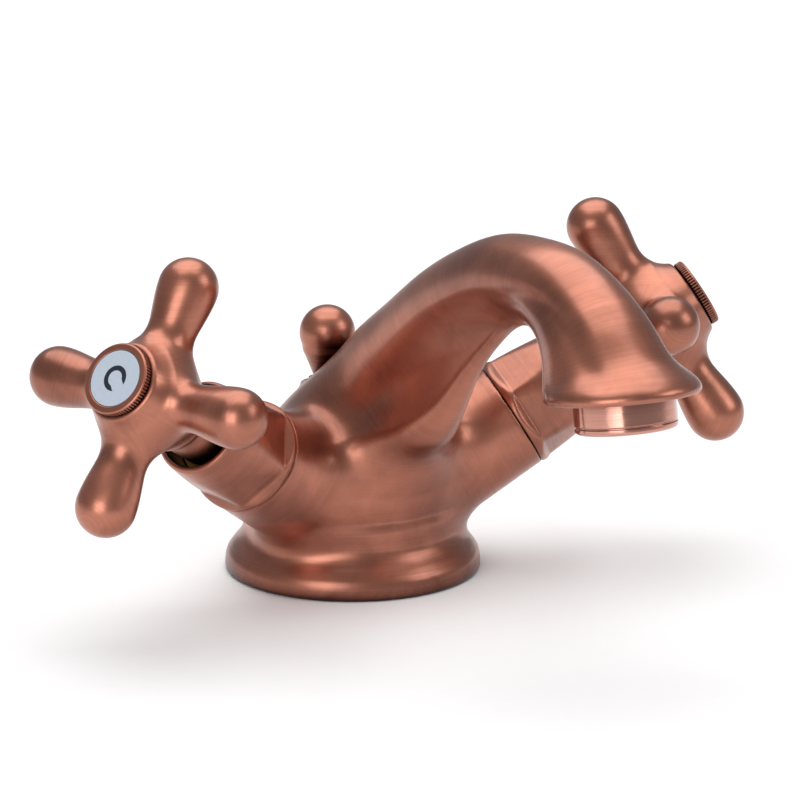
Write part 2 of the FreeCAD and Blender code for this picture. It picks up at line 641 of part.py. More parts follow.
# ---------------------------------------------------------------- one handle: cross, screw, cap and index
def handle(side, name, roll):
    frame = valveFrame(side, roll) * Placement(Vector(0, 0, size("handleAlong")), Rotation())
    cross = turned(name + "_cross", [
        ("capThread + restFit", "screwSeat"),
        ("capThread + restFit", "hubTop"),
        ("hubFront", "hubTop"),
        ("hubRadius", "hubFlat"),
        ("hubRadius", "-hubFlat"),
        ("skirtRadius", "-hubBack"),
        ("skirtRadius", "-skirtEnd"),
        ("skirtBore", "-skirtEnd"),
        ("skirtBore", "-hubBack"),
        ("spindleRadius + restFit", "-hubBack"),
        ("spindleRadius + restFit", "spindleTop - handleAlong + openGap"),
        ("screwRadius + restFit", "spindleTop - handleAlong + openGap"),
        ("screwRadius + restFit", "screwSeat"),
    ])
    arms = []
    for number, (kind, cells, start) in enumerate((
        ("Cone", {"Radius1": "armFoot", "Radius2": "neckRadius", "Height": "neckReach"}, "0"),
        ("Cone", {"Radius1": "neckRadius", "Radius2": "ballRadius * 0.98",
                  "Height": "armLength - neckReach - ballRadius * 0.2"}, "neckReach"),
        ("Sphere", {"Radius": "ballRadius"}, "armLength"),
    )):
        piece = solid(kind, "%s_arm_piece%d" % (name, number), **cells)
        arms.append(lifted(piece, start))
    arm = joined(name + "_arm", arms)
    doc.recompute()
    spread = []
    for quarter in range(4):
        turn = Rotation(Vector(0, 0, 1), 90 * quarter) * Rotation(Vector(0, 1, 0), 90)
        copy = doc.addObject("Part::Feature", "%s_arm_copy%d" % (name, quarter))
        copy.Shape = arm.Shape
        copy.Placement = Placement(Vector(0, 0, 0), turn)
        spread.append(copy)
    core = turned(name + "_core", [
        ("0", "-skirtEnd"),
        ("skirtBore", "-skirtEnd"),
        ("skirtBore", "-hubBack"),
        ("spindleRadius + restFit", "-hubBack"),
        ("spindleRadius + restFit", "spindleTop - handleAlong + openGap"),
        ("screwRadius + restFit", "spindleTop - handleAlong + openGap"),
        ("screwRadius + restFit", "screwSeat"),
        ("capThread + restFit", "screwSeat"),
        ("capThread + restFit", "hubTop"),
        ("0", "hubTop"),
    ])
    blank = joined(name + "_handle_raw", [cross] + spread)
    node(cut(name + "_handle_cut", blank, core), name + "_handle", frame)

    screw = turned(name + "_screw", [
        ("0", "screwSeat - screwLength"),
        ("screwRadius", "screwSeat - screwLength"),
        ("screwRadius", "screwSeat"),
        ("screwHead", "screwSeat"),
        ("screwHead", "screwSeat + screwHeadThick"),
        ("0", "screwSeat + screwHeadThick"),
    ])
    slot = prism(name + "_screw_key", "keyAcross", "screwSeat + screwHeadThick - keyDepth",
                 "screwSeat + screwHeadThick")
    node(cut(name + "_screw_cut", screw, slot), name + "_handle_screw", frame)

    cap = turned(name + "_cap", [
        ("0", "hubTop - capStem"),
        ("capThread", "hubTop - capStem"),
        ("capThread", "hubTop + restFit"),
        ("capRadius", "hubTop + restFit"),
        ("capRadius", "hubTop + capEdge - capBevel"),
        ("capRadius - capBevel", "hubTop + capEdge"),
        ("indexRadius + restFit * 2", "hubTop + capEdge"),
        ("indexRadius + restFit * 2", "hubTop + capEdge - indexThick - discDepth"),
        ("0", "hubTop + capEdge - indexThick - discDepth"),
    ])
    node(cut(name + "_cap_cut", cap, knurl(name)), name + "_index_cap", frame)

    disc = solid("Cylinder", name + "_disc_blank", Radius="indexRadius", Height="indexThick")
    lifted(disc, "hubTop + capEdge - indexThick - discDepth")
    mark = coldLetter(name) if side < 0 else hotLetter(name)
    node(cut(name + "_disc_cut", disc, mark), name + "_index_disc", frame)
    fill = common(name + "_mark_fill", doc.copyObject(mark, True), markBlank(name))
    node(fill, name + "_index_mark", frame)


def markBlank(name):
    """The thin layer that the letter fills."""
    blank = solid("Cylinder", name + "_mark_blank", Radius="indexRadius", Height="markThick")
    return lifted(blank, "hubTop + capEdge - discDepth - markThick")


def knurl(name):
    """Straight grooves round the cap's edge."""
    count = int(size("ridgeCount"))
    radius = size("capRadius") + size("ridgeWidth") - size("ridgeDepth")
    height = size("capEdge")
    grooves = []
    for number in range(count):
        turn = 2 * math.pi * number / count
        spot = Vector(radius * math.cos(turn), radius * math.sin(turn), size("hubTop") + size("capBevel"))
        groove = Part.makeBox(size("ridgeWidth"), size("ridgeWidth"), height)
        groove.translate(Vector(-size("ridgeWidth") / 2, -size("ridgeWidth") / 2, 0))
        groove.rotate(Vector(0, 0, 0), Vector(0, 0, 1), 45 + math.degrees(turn))
        groove.translate(spot)
        grooves.append(groove)
    tool = doc.addObject("Part::Feature", name + "_knurl_tool")
    tool.Shape = Part.makeCompound(grooves)
    return tool


def coldLetter(name):
    """Generic C, turned about the handle's axis."""
    floor = "hubTop + capEdge - discDepth - markThick"
    outer = solid("Cylinder", name + "_mark_outer", Radius="markHeight / 2", Height="indexThick")
    inner = solid("Cylinder", name + "_mark_inner", Radius="markHeight / 2 - markStroke",
                  Height="indexThick")
    gap = solid("Box", name + "_mark_gap", Length="markHeight", Width="markGap", Height="indexThick")
    gap.setExpression("Placement.Base.y", "-" + named("markGap / 2"))
    ringCut = cut(name + "_mark_ring", lifted(outer, floor), lifted(inner, floor))
    letter = cut(name + "_mark_c", ringCut, lifted(gap, floor))
    letter.Placement = Placement(Vector(0, 0, 0), Rotation(Vector(0, 0, 1), size("coldMarkTurn")))
    return letter


def hotLetter(name):
    """Generic H."""
    floor = "hubTop + capEdge - discDepth - markThick"
    bars = []
    for number, offset in enumerate(("-", "")):
        bar = solid("Box", "%s_mark_bar%d" % (name, number), Length="markStroke", Width="markHeight",
                    Height="indexThick")
        where = named("markWidth / 2 - markStroke / 2")
        bar.setExpression("Placement.Base.x", "%s(%s) - %s" % (offset, where, named("markStroke / 2")))
        bar.setExpression("Placement.Base.y", "-" + named("markHeight / 2"))
        bars.append(lifted(bar, floor))
    bridge = solid("Box", name + "_mark_bridge", Length="markWidth - markStroke", Width="markStroke",
                   Height="indexThick")
    bridge.setExpression("Placement.Base.x", "-(%s)" % named("markWidth / 2 - markStroke / 2"))
    bridge.setExpression("Placement.Base.y", "-" + named("markStroke / 2"))
    bars.append(lifted(bridge, floor))
    return joined(name + "_mark_h", bars)


for side, name, roll in ((-1, "cold", "coldRoll"), (1, "hot", "hotRoll")):
    valve(side, name)
    handle(side, name, size(roll))


# ---------------------------------------------------------------- aerator, below and inside the lip
node(turned("aerator_shell", [
    ("aeratorLip", "-collarDrop"),
    ("collarOuter - collarBevel", "-collarDrop"),
    ("collarOuter", "-collarDrop + collarBevel"),
    ("collarOuter", "-restFit"),
    ("aeratorThread", "-restFit"),
    ("aeratorThread", "threadRise"),
    ("aeratorBore", "threadRise"),
    ("aeratorBore", "-collarDrop + lipThick"),
    ("aeratorLip", "-collarDrop + lipThick"),
]), "aerator_housing", outletFrame)
node(turned("aerator_ring", [
    ("washerInner", "threadRise"),
    ("aeratorThread - restFit", "threadRise"),
    ("aeratorThread - restFit", "threadRise + washerThick"),
    ("washerInner", "threadRise + washerThick"),
]), "aerator_washer", outletFrame)


def sieve(name, bottom, thick, pitch, hole):
    """Rings of round holes through a disc."""
    holes = [Part.makeCylinder(hole, thick, Vector(0, 0, bottom))]
    for circle in range(1, int(size("sieveRings")) + 1):
        for number in range(6 * circle):
            turn = 2 * math.pi * number / (6 * circle)
            spot = Vector(circle * pitch * math.cos(turn), circle * pitch * math.sin(turn), bottom)
            holes.append(Part.makeCylinder(hole, thick, spot))
    tool = doc.addObject("Part::Feature", name)
    tool.Shape = Part.makeCompound(holes)
    return tool


screen = solid("Cylinder", "screen_blank", Radius="aeratorBore - restFit", Height="screenThick")
lifted(screen, "-collarDrop + lipThick")
screenFloor = size("lipThick") - size("collarDrop")
screenHoles = sieve("screen_holes", screenFloor, size("screenThick"),
                    size("screenPitch"), size("screenHole"))
node(cut("screen", screen, screenHoles), "aerator_screen", outletFrame)

insertFoot = "-collarDrop + lipThick + screenThick"
insert = turned("insert_cup", [
    ("0", insertFoot + " + insertLength"),
    ("0", insertFoot + " + insertLength - vaneThick"),
    ("aeratorBore - restFit - vaneThick", insertFoot + " + insertLength - vaneThick"),
    ("aeratorBore - restFit - vaneThick", insertFoot),
    ("aeratorBore - restFit", insertFoot),
    ("aeratorBore - restFit", insertFoot + " + insertLength"),
])
insertFloor = screenFloor + size("screenThick") + size("insertLength") - size("vaneThick")
insertHoles = sieve("insert_holes", insertFloor, size("vaneThick"),
                    size("insertPitch"), size("insertHole"))
node(cut("insert", insert, insertHoles), "aerator_insert", outletFrame)

# ---------------------------------------------------------------- lift rod of the pop-up waste
rodFrame = Placement(Vector(0, size("rodBack"), 0), Rotation())
node(turned("rod_bush", [
    ("rodRadius + runFit", "bossTop - bushDepth"),
    ("bushRadius", "bossTop - bushDepth"),
    ("bushRadius", "bossTop"),
    ("bushFlange", "bossTop"),
    ("bushFlange", "bossTop + bushRim"),
    ("rodRadius + runFit", "bossTop + bushRim"),
]), "lift_rod_bush", rodFrame)
knobFoot = "bossTop + bushRim + openGap"
neck = turned("knob_neck", [
    ("0", knobFoot),
    ("knobNeck", knobFoot),
    ("knobNeck", knobFoot + " + neckFlat"),
    ("knobRadius * 0.92", "knobHeight - knobRadius * 0.39"),
    ("0", "knobHeight - knobRadius * 0.39"),
])
ball = lifted(solid("Sphere", "knob_ball", Radius="knobRadius"), "knobHeight")
socket = solid("Cylinder", "knob_socket", Radius="rodRadius + restFit",
               Height="knobHeight - socketTop - bossTop")
lifted(socket, "bossTop")
node(cut("knob", joined("knob_blank", [neck, ball]), socket), "lift_knob", rodFrame)
node(turned("rod_stem", [
    ("0", "rodFoot"),
    ("rodRadius", "rodFoot"),
    ("rodRadius", "knobHeight - socketTop - restFit"),
    ("0", "knobHeight - socketTop - restFit"),
]), "lift_rod", rodFrame)

# ---------------------------------------------------------------- checks and files
doc.recompute()
for item in doc.Objects:
    if "Invalid" in item.State or "Error" in item.State:
        raise RuntimeError("%s did not recompute: %s" % (item.Label, item.State))
for item in nodes:
    if item.Shape.isNull() or not item.Shape.isValid() or not item.Shape.Solids:
        raise RuntimeError("%s has no sound solid" % item.Label)
os.makedirs("parts", exist_ok=True)
for item in nodes:
    item.Shape.exportStep(os.path.join("parts", item.Label + ".step"))
    print("%-24s %2d solid(s) %10.1f mm3" % (item.Label, len(item.Shape.Solids), item.Shape.Volume))
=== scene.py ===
import json
import math
import bpy
import numpy as np
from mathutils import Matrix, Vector


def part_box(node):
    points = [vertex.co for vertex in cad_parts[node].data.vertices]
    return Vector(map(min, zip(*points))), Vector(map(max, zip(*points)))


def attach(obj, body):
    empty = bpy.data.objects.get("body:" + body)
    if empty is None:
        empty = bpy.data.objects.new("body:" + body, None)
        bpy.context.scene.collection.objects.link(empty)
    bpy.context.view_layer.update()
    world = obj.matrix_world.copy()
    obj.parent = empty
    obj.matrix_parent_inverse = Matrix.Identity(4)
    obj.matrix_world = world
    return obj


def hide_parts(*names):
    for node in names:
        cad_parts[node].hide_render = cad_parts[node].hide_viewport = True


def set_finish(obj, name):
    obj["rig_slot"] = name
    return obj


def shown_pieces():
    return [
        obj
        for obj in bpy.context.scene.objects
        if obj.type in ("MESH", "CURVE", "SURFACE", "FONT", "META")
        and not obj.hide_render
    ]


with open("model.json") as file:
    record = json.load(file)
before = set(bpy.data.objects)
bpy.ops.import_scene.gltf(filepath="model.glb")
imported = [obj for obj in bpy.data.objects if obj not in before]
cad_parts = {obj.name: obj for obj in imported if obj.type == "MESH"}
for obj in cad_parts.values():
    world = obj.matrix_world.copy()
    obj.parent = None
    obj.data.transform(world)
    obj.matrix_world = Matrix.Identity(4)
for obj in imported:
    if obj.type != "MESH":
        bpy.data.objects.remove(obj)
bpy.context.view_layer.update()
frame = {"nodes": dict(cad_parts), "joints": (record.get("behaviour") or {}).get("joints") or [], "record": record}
mm = 0.001
nodes = frame["nodes"]
joints = {joint["name"]: joint for joint in frame["joints"]}
print("frame loaded with", len(nodes), "nodes")


# shapes are given by a distance in mm that is below 0 inside the metal
def softJoin(a, b, reach):
    share = np.clip(reach - np.abs(a - b), 0, None) / reach
    return np.minimum(a, b) - share * share * reach / 4


def softTrim(a, b, reach):
    return -softJoin(-a, -b, reach)


def skinOf(field, low, high, cell):
    # a closed skin where the distance is 0: one corner in each grid cell that the surface crosses
    axes = [np.arange(low[i], high[i] + cell, cell) for i in range(3)]
    value = field(axes[0][:, None, None], axes[1][None, :, None], axes[2][None, None, :]).astype(np.float32)
    solid = value < 0
    corners = [(a, b, c) for a in (0, 1) for b in (0, 1) for c in (0, 1)]
    nx, ny, nz = (n - 1 for n in solid.shape)
    count = sum(solid[a:nx + a, b:ny + b, c:nz + c].astype(np.int8) for a, b, c in corners)
    cells = np.argwhere((count > 0) & (count < 8))
    at = np.stack([value[tuple((cells + corner).T)] for corner in corners], 1)
    total, hits = np.zeros((len(cells), 3)), np.zeros(len(cells))
    for i, start in enumerate(corners):
        for j, end in enumerate(corners):
            if j > i and sum(abs(s - e) for s, e in zip(start, end)) == 1:
                crossed = (at[:, i] < 0) != (at[:, j] < 0)
                share = np.where(crossed, at[:, i] / np.where(crossed, at[:, i] - at[:, j], 1), 0)
                point = np.array(start) + share[:, None] * (np.array(end) - np.array(start))
                total += point * crossed[:, None]
                hits += crossed
    points = np.array(low) + (cells + total / hits[:, None]) * cell
    number = np.full(count.shape, -1, np.int64)
    number[tuple(cells.T)] = np.arange(len(cells))
    faces = []
    for axis in range(3):
        near, far = [slice(1, -1)] * 3, [slice(1, -1)] * 3
        near[axis], far[axis] = slice(0, -1), slice(1, None)
        first, second = solid[tuple(near)], solid[tuple(far)]
        spots = np.argwhere(first != second)
        up, side = [(1, 2), (2, 0), (0, 1)][axis]
        base = spots + 1
        base[:, axis] -= 1
        quad = []
        for u, w in ((-1, -1), (0, -1), (0, 0), (-1, 0)):
            corner = base.copy()
            corner[:, up] += u
            corner[:, side] += w
            quad.append(number[tuple(corner.T)])
        quad = np.stack(quad, 1)
        inward = ~first[tuple(spots.T)]
        quad[inward] = quad[inward][:, ::-1]
        faces.append(quad)
    step = 0.02
    for _ in range(2):  # settle the corners onto the true surface
        here = field(*points.T)
        slope = np.stack([field(*(points + step * way).T) - field(*(points - step * way).T)
                          for way in np.eye(3)], 1) / (2 * step)
        move = here[:, None] * slope / np.maximum((slope ** 2).sum(1), 0.1)[:, None]
        points -= np.clip(move, -cell / 2, cell / 2)
    return points, np.concatenate(faces).tolist()


def turnedSkin(profile, edge, segments):
    # a closed outline of (radius, height) turned about Z, each corner eased by a small round
    outline = []
    for i, (r, z) in enumerate(profile):
        here = np.array([r, z], float)
        a = np.array(profile[i - 1], float) - here
        b = np.array(profile[(i + 1) % len(profile)], float) - here
        la, lb = np.linalg.norm(a), np.linalg.norm(b)
        if r < 0.01 or np.dot(a, b) / (la * lb) < -0.985:
            outline.append(here)
            continue
        reach = min(edge, la / 3, lb / 3)
        start, end = here + a / la * reach, here + b / lb * reach
        if la > 5 * reach:
            outline.append(start + a / la * reach * 0.6)
        for t in (0, 0.25, 0.5, 0.75, 1):
            outline.append((1 - t) ** 2 * start + 2 * t * (1 - t) * here + t * t * end)
        if lb > 5 * reach:
            outline.append(end + b / lb * reach * 0.6)
    turn = np.arange(segments) * 2 * math.pi / segments
    points, rows = [], []
    for r, z in outline:
        rows.append([len(points)] * segments if r < 0.01 else range(len(points), len(points) + segments))
        points += [(0, 0, z)] if r < 0.01 else [(r * math.cos(t), r * math.sin(t), z) for t in turn]
    faces = []
    for low, high in zip(rows, rows[1:] + rows[:1]):
        for j in range(segments):
            k = (j + 1) % segments
            corners = list(dict.fromkeys([low[j], low[k], high[k], high[j]]))
            if len(corners) > 2:
                faces.append(corners)
    return np.array(points, float), faces


def addPiece(name, points, faces, strokes, shares, body, slot, stands):
    # strokes: how far along three families of brush strokes a corner lies; shares: how much of each it has
    mesh = bpy.data.meshes.new(name)
    mesh.from_pydata((points * mm).tolist(), [], faces)
    mesh.validate()
    mesh.shade_smooth()
    for label, values in (("strokeAt", strokes), ("strokeShare", shares)):
        layer = mesh.attributes.new(label, "FLOAT_VECTOR", "POINT")
        layer.data.foreach_set("vector", np.ascontiguousarray(values, np.float32).ravel())
    piece = bpy.data.objects.new(name, mesh)
    bpy.context.scene.collection.objects.link(piece)
    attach(piece, body)
    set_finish(piece, slot)
    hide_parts(stands)
    print("made", name, "with", len(points), "corners")


def oneFamily(values):
    return np.repeat(values[:, None], 3, 1), np.tile([1.0, 0.0, 0.0], (len(values), 1))


# the frames of both valves and of the outlet
handleStation = 91.1  # the four arms, in mm from where the valve axes meet


def valveFrame(joint):
    outward = np.array(joint["axis"], float) * (1 if joint["axis"][2] > 0 else -1)
    level = np.cross([0, 0, 1], outward)
    level /= np.linalg.norm(level)
    centre = np.array(joint["pos_m"], float) / mm
    return {"root": centre - outward * handleStation, "along": outward, "level": level,
            "rise": np.cross(outward, level)}


valves = {"cold": valveFrame(joints["cold_handle_turn"]), "hot": valveFrame(joints["hot_handle_turn"])}


def onValve(points, valve, station, roll):
    # from a valve's own frame to the object's
    c, s = math.cos(math.radians(roll)), math.sin(math.radians(roll))
    x, y = points[:, 0] * c - points[:, 1] * s, points[:, 0] * s + points[:, 1] * c
    return (valve["root"] + np.outer(x, valve["level"]) + np.outer(y, valve["rise"])
            + np.outer(points[:, 2] + station, valve["along"]))


outlet = {"centre": np.array([0, -120.3, 71.0]), "tilt": math.radians(10), "socket": 11.35,
          "socketDepth": 5.5}
outletUp = np.array([0, math.sin(outlet["tilt"]), math.cos(outlet["tilt"])])

# the casting: bell base, two arms, swan-neck spout and the rod's boss, poured in one
casting = {
    "bell": [(0, 32.05), (2.4, 32.05), (4.6, 31.6), (6.6, 30.3), (8.6, 28.7), (11, 27.5), (13.5, 27.2),
             (17, 27.1), (21, 26.4), (26, 25.6)],  # height, radius
    "crownHeight": 18.5, "crown": 25.6,
    "armFoot": 15.4, "armFootStation": 12.0, "armEnd": 14.0, "armEndStation": 47.6,
    "armBlend": 6.0, "spoutBlend": 17.0, "edge": 1.2, "seamEdge": 0.5,
    "hollow": 23.0, "hollowDepth": 9.0, "groove": (26.0, 30.0, 2.0),
    "inlet": 4.6, "inletStation": 17.0, "inletTop": 18.0, "stud": 3.4, "studReach": 14.5, "studTop": 23.0,
    "rodBack": 12.1, "rodBore": 2.6, "boss": 6.3, "bossTop": 45.0, "bush": 3.65, "bushDepth": 9.0,
    "spot": 5.3,
    "thread": 10.45, "seatStation": 31.0, "cell": 0.62,
}
spout = {
    # reach, height, lean of the section, round, keel depth, keel edge, valley's angle, valley's depth
    "sections": [
        (0.0, 31.0, 12, 16.0, 25.0, 15.0, 228, 0.0),
        (7.8, 47.4, 25, 12.2, 28.0, 11.5, 228, 0.0),
        (18.0, 58.7, 36, 10.4, 29.0, 8.0, 226, 0.0),
        (29.7, 67.5, 44, 9.6, 25.8, 4.8, 225, 0.0),
        (45.0, 78.0, 51, 9.4, 20.0, 2.7, 224, 0.0),
        (57.7, 84.7, 58, 9.4, 16.0, 2.2, 220, 0.0),
        (71.0, 89.9, 74, 9.4, 12.8, 2.8, 212, 0.1),
        (81.8, 91.3, 90, 9.6, 11.0, 4.5, 200, 0.4),
        (93.2, 90.8, 108, 10.3, 10.4, 7.0, 182, 0.8),
        (102.3, 87.4, 125, 11.2, 11.3, 9.0, 165, 1.0),
        (110.0, 81.5, 143, 13.2, 13.3, 11.0, 151, 1.0),
        (115.0, 75.7, 157, 15.4, 15.5, 13.0, 142, 0.7),
        (119.9, 73.2, 170, 17.7, 17.8, 15.0, 138, 0.1),
        (120.3, 71.0, 170, 18.0, 18.1, 15.0, 138, 0.0),
    ],
    "valleyWidth": 15.0, "fillet": 5.0, "lipFrom": -90.0, "planes": 140, "cell": 0.5,
}


def smoothTable(table, steps):
    # a given table redrawn as smooth curves through its rows
    rows = np.array(table, float)
    gaps = np.hypot(*np.diff(rows[:, :2], axis=0).T) ** 0.5
    where = np.concatenate([[0], np.cumsum(gaps)])
    tangent = np.gradient(rows, where, axis=0)
    at = np.linspace(0, where[-1], steps)
    left = np.clip(np.searchsorted(where, at, "right") - 1, 0, len(rows) - 2)
    width = (where[left + 1] - where[left])[:, None]
    u = (at - where[left])[:, None] / width
    start, end = rows[left], rows[left + 1]
    rise, fall = tangent[left] * width, tangent[left + 1] * width
    return ((2 * u**3 - 3 * u**2 + 1) * start + (u**3 - 2 * u**2 + u) * rise
            + (3 * u**2 - 2 * u**3) * end + (u**3 - u**2) * fall)


spoutLine = smoothTable(spout["sections"], spout["planes"])
spoutArc = np.concatenate([[0], np.cumsum(np.hypot(*np.diff(spoutLine[:, :2], axis=0).T))])
bellLine = smoothTable(casting["bell"], 80)
bellSlope = np.gradient(bellLine[:, 1], bellLine[:, 0])


def sideMap():
    # for each point of the side view: its section plane, the height above its centre, the way past an end
    gridY, gridZ = np.arange(-142, 60, spout["cell"]), np.arange(-6, 122, spout["cell"])
    y, z = gridY[:, None], gridZ[None, :]
    lean = np.radians(spoutLine[:, 2])
    off = [(y + a) * math.sin(t) * -1 + (z - b) * math.cos(t) for (a, b), t in zip(spoutLine[:, :2], lean)]
    high = [(y + a) * math.cos(t) + (z - b) * math.sin(t) for (a, b), t in zip(spoutLine[:, :2], lean)]
    place, above = np.zeros(off[0].shape), high[0].copy()
    past, cost = np.abs(off[0]), np.hypot(off[0], high[0]) + 4
    last = len(off) - 1
    end = np.hypot(off[last], high[last]) + 4
    beyond = (end < cost) & (off[last] > 0)
    place[beyond], above[beyond] = last, high[last][beyond]
    past[beyond], cost[beyond] = off[last][beyond], end[beyond]
    for i in range(last):
        share = off[i] / np.where(off[i] == off[i + 1], 1, off[i] - off[i + 1])
        level = high[i] * (1 - share) + high[i + 1] * share
        here = (off[i] >= 0) & (off[i + 1] < 0) & (np.abs(level) < cost)
        place[here], above[here] = (i + share)[here], level[here]
        past[here], cost[here] = 0, np.abs(level)[here]
    return gridY, gridZ, np.stack([place, above, past])


mapY, mapZ, sidePlaces = sideMap()


def sidePlace(y, z):
    u = np.clip((y - mapY[0]) / spout["cell"], 0, len(mapY) - 1.001)
    v = np.clip((z - mapZ[0]) / spout["cell"], 0, len(mapZ) - 1.001)
    i, j = u.astype(int), v.astype(int)
    a, b = u - i, v - j
    return [m[i, j] * (1 - a) * (1 - b) + m[i + 1, j] * a * (1 - b) + m[i, j + 1] * (1 - a) * b
            + m[i + 1, j + 1] * a * b for m in sidePlaces]


def spoutField(x, y, z):
    place, above, past = sidePlace(y, z)
    number = np.arange(len(spoutLine))
    tube, keel, edge, angle, depth = (np.interp(place, number, spoutLine[:, i]) for i in (3, 4, 5, 6, 7))
    across = np.abs(x)
    tubeWall = np.hypot(across, above) - tube
    top, foot = 0.8 * tube, np.minimum(edge, keel * 0.9)  # the web tapers from inside the tube to the keel
    start, end = -0.25 * tube, foot - keel
    run = np.clip((start - above) / np.maximum(start - end, 0.5), 0, 1)
    web = np.hypot(across, above - (start + (end - start) * run)) - (top + (foot - top) * run)
    wall = softJoin(tubeWall, web, spout["fillet"])
    turn = np.degrees(np.arctan2(above, -across))
    turn = np.where(turn < -90, turn + 360, turn)
    wall = wall + depth * np.exp(-((turn - angle) / spout["valleyWidth"]) ** 2)
    wall = np.hypot(np.maximum(wall, 0), past) + np.minimum(wall, 0)
    rise = (y - outlet["centre"][1]) * outletUp[1] + (z - outlet["centre"][2]) * outletUp[2]
    return softTrim(wall, np.where(y < spout["lipFrom"], -rise, -40), casting["edge"])


def bellField(x, y, z):
    reach = np.hypot(x, y)
    side = (reach - np.interp(z, bellLine[:, 0], bellLine[:, 1])) / np.sqrt(
        1 + np.interp(z, bellLine[:, 0], bellSlope) ** 2)
    over = z - casting["crownHeight"]
    crown = np.hypot(reach, np.maximum(over, 0)) - (casting["crown"] + np.maximum(-over, 0))
    return softTrim(softTrim(side, crown, 3), -z, casting["edge"])


def armField(x, y, z, valve):
    away = [x - valve["root"][0], y - valve["root"][1], z - valve["root"][2]]
    along = sum(a * n for a, n in zip(away, valve["along"]))
    reach = np.sqrt(np.maximum(sum(a * a for a in away) - along ** 2, 1e-6))
    taper = (casting["armFoot"] - casting["armEnd"]) / (casting["armEndStation"] - casting["armFootStation"])
    cone = (reach - casting["armEnd"] - taper * (casting["armEndStation"] - along)) / math.hypot(1, taper)
    arm = softTrim(softTrim(cone, along - casting["armEndStation"], casting["seamEdge"]),
                   casting["armFootStation"] - along, 6)
    return arm, np.maximum(reach - casting["thread"], casting["seatStation"] - along), along


def hole(x, y, z, centre, radius, low, high):
    return np.maximum(np.hypot(x - centre[0], y - centre[1]) - radius, np.maximum(z - high, low - z))


def castingField(x, y, z):
    c = casting
    cold, coldBore, _ = armField(x, y, z, valves["cold"])
    hot, hotBore, _ = armField(x, y, z, valves["hot"])
    body = softJoin(bellField(x, y, z), softJoin(cold, hot, c["armBlend"]), c["armBlend"])
    body = softJoin(body, spoutField(x, y, z), c["spoutBlend"])
    body = softJoin(body, hole(x, y, z, (0, c["rodBack"]), c["boss"], 12, c["bossTop"]), 4)
    rod = (0, c["rodBack"])
    inlet = valves["hot"]["root"] + valves["hot"]["along"] * c["inletStation"]
    inner, outer, deep = c["groove"]
    groove = np.maximum(np.abs(np.hypot(x, y) - (inner + outer) / 2) - (outer - inner) / 2, z - deep)
    dy, dz = y - outlet["centre"][1], z - outlet["centre"][2]
    rise = dy * outletUp[1] + dz * outletUp[2]
    away = np.sqrt(np.maximum(x ** 2 + dy ** 2 + dz ** 2 - rise ** 2, 1e-6))
    socket = np.maximum(away - outlet["socket"], np.maximum(rise - outlet["socketDepth"], -6 - rise))
    water = np.maximum(away - 5, np.maximum(rise - 12, -6 - rise))
    for gap in (hole(x, y, z, (0, 0), c["hollow"], -9, c["hollowDepth"]), groove, coldBore, hotBore, socket,
                water,
                hole(x, y, z, (inlet[0], inlet[1]), c["inlet"], -9, c["inletTop"]),
                hole(x, y, z, (-inlet[0], inlet[1]), c["inlet"], -9, c["inletTop"]),
                hole(x, y, z, (0, -c["studReach"]), c["stud"], -9, c["studTop"]),
                hole(x, y, z, rod, c["rodBore"], -9, c["bossTop"] + 3),
                hole(x, y, z, rod, c["bush"], c["bossTop"] - c["bushDepth"], c["bossTop"] + 3),
                hole(x, y, z, rod, c["spot"], c["bossTop"], c["bossTop"] + 14)):
        body = softTrim(body, -gap, 0.7)
    return body


def castingStrokes(points):
    # level strokes on the bell, turned ones on the arms, strokes across the spout
    x, y, z = points.T
    place, _, _ = sidePlace(y, z)
    cold, _, coldAlong = armField(x, y, z, valves["cold"])
    hot, _, hotAlong = armField(x, y, z, valves["hot"])
    walls = np.stack([bellField(x, y, z), np.minimum(cold, hot), spoutField(x, y, z)], 1)
    shares = np.exp(-np.maximum(walls, 0) / 2.2)
    strokes = np.stack([z, np.where(cold < hot, coldAlong, hotAlong),
                        np.interp(place, np.arange(len(spoutArc)), spoutArc)], 1)
    return strokes, shares / shares.sum(1)[:, None]


low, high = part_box("body")
points, faces = skinOf(castingField, [v / mm - 2 for v in low], [v / mm + 2 for v in high],
                       casting["cell"] * (1))
addPiece("casting", points, faces, *castingStrokes(points), "root", "copper_satin", "body")

# the cross handles: a barrel hub, four pear-shaped arms and a skirt that enters the housing
cross = {
    "hub": [(-9.0, 8.4), (-4.5, 10.1), (0, 10.3), (4.5, 10.1), (11.0, 9.3)],  # height, radius
    "skirt": 8.2, "skirtEnd": -26.0, "skirtBore": 6.9, "hubBack": -9.0, "hubTop": 11.0,
    "armLength": 28.0, "ball": 7.3, "neck": 5.6, "neckReach": 13.0, "foot": 7.4,
    "capBore": 6.45, "capSeat": 1.2, "spindle": 4.1, "spindleTop": -2.6, "screw": 2.6,
    "blend": 8.0, "cell": 0.5, "rolls": {"cold": -1.2, "hot": -12.5},
}


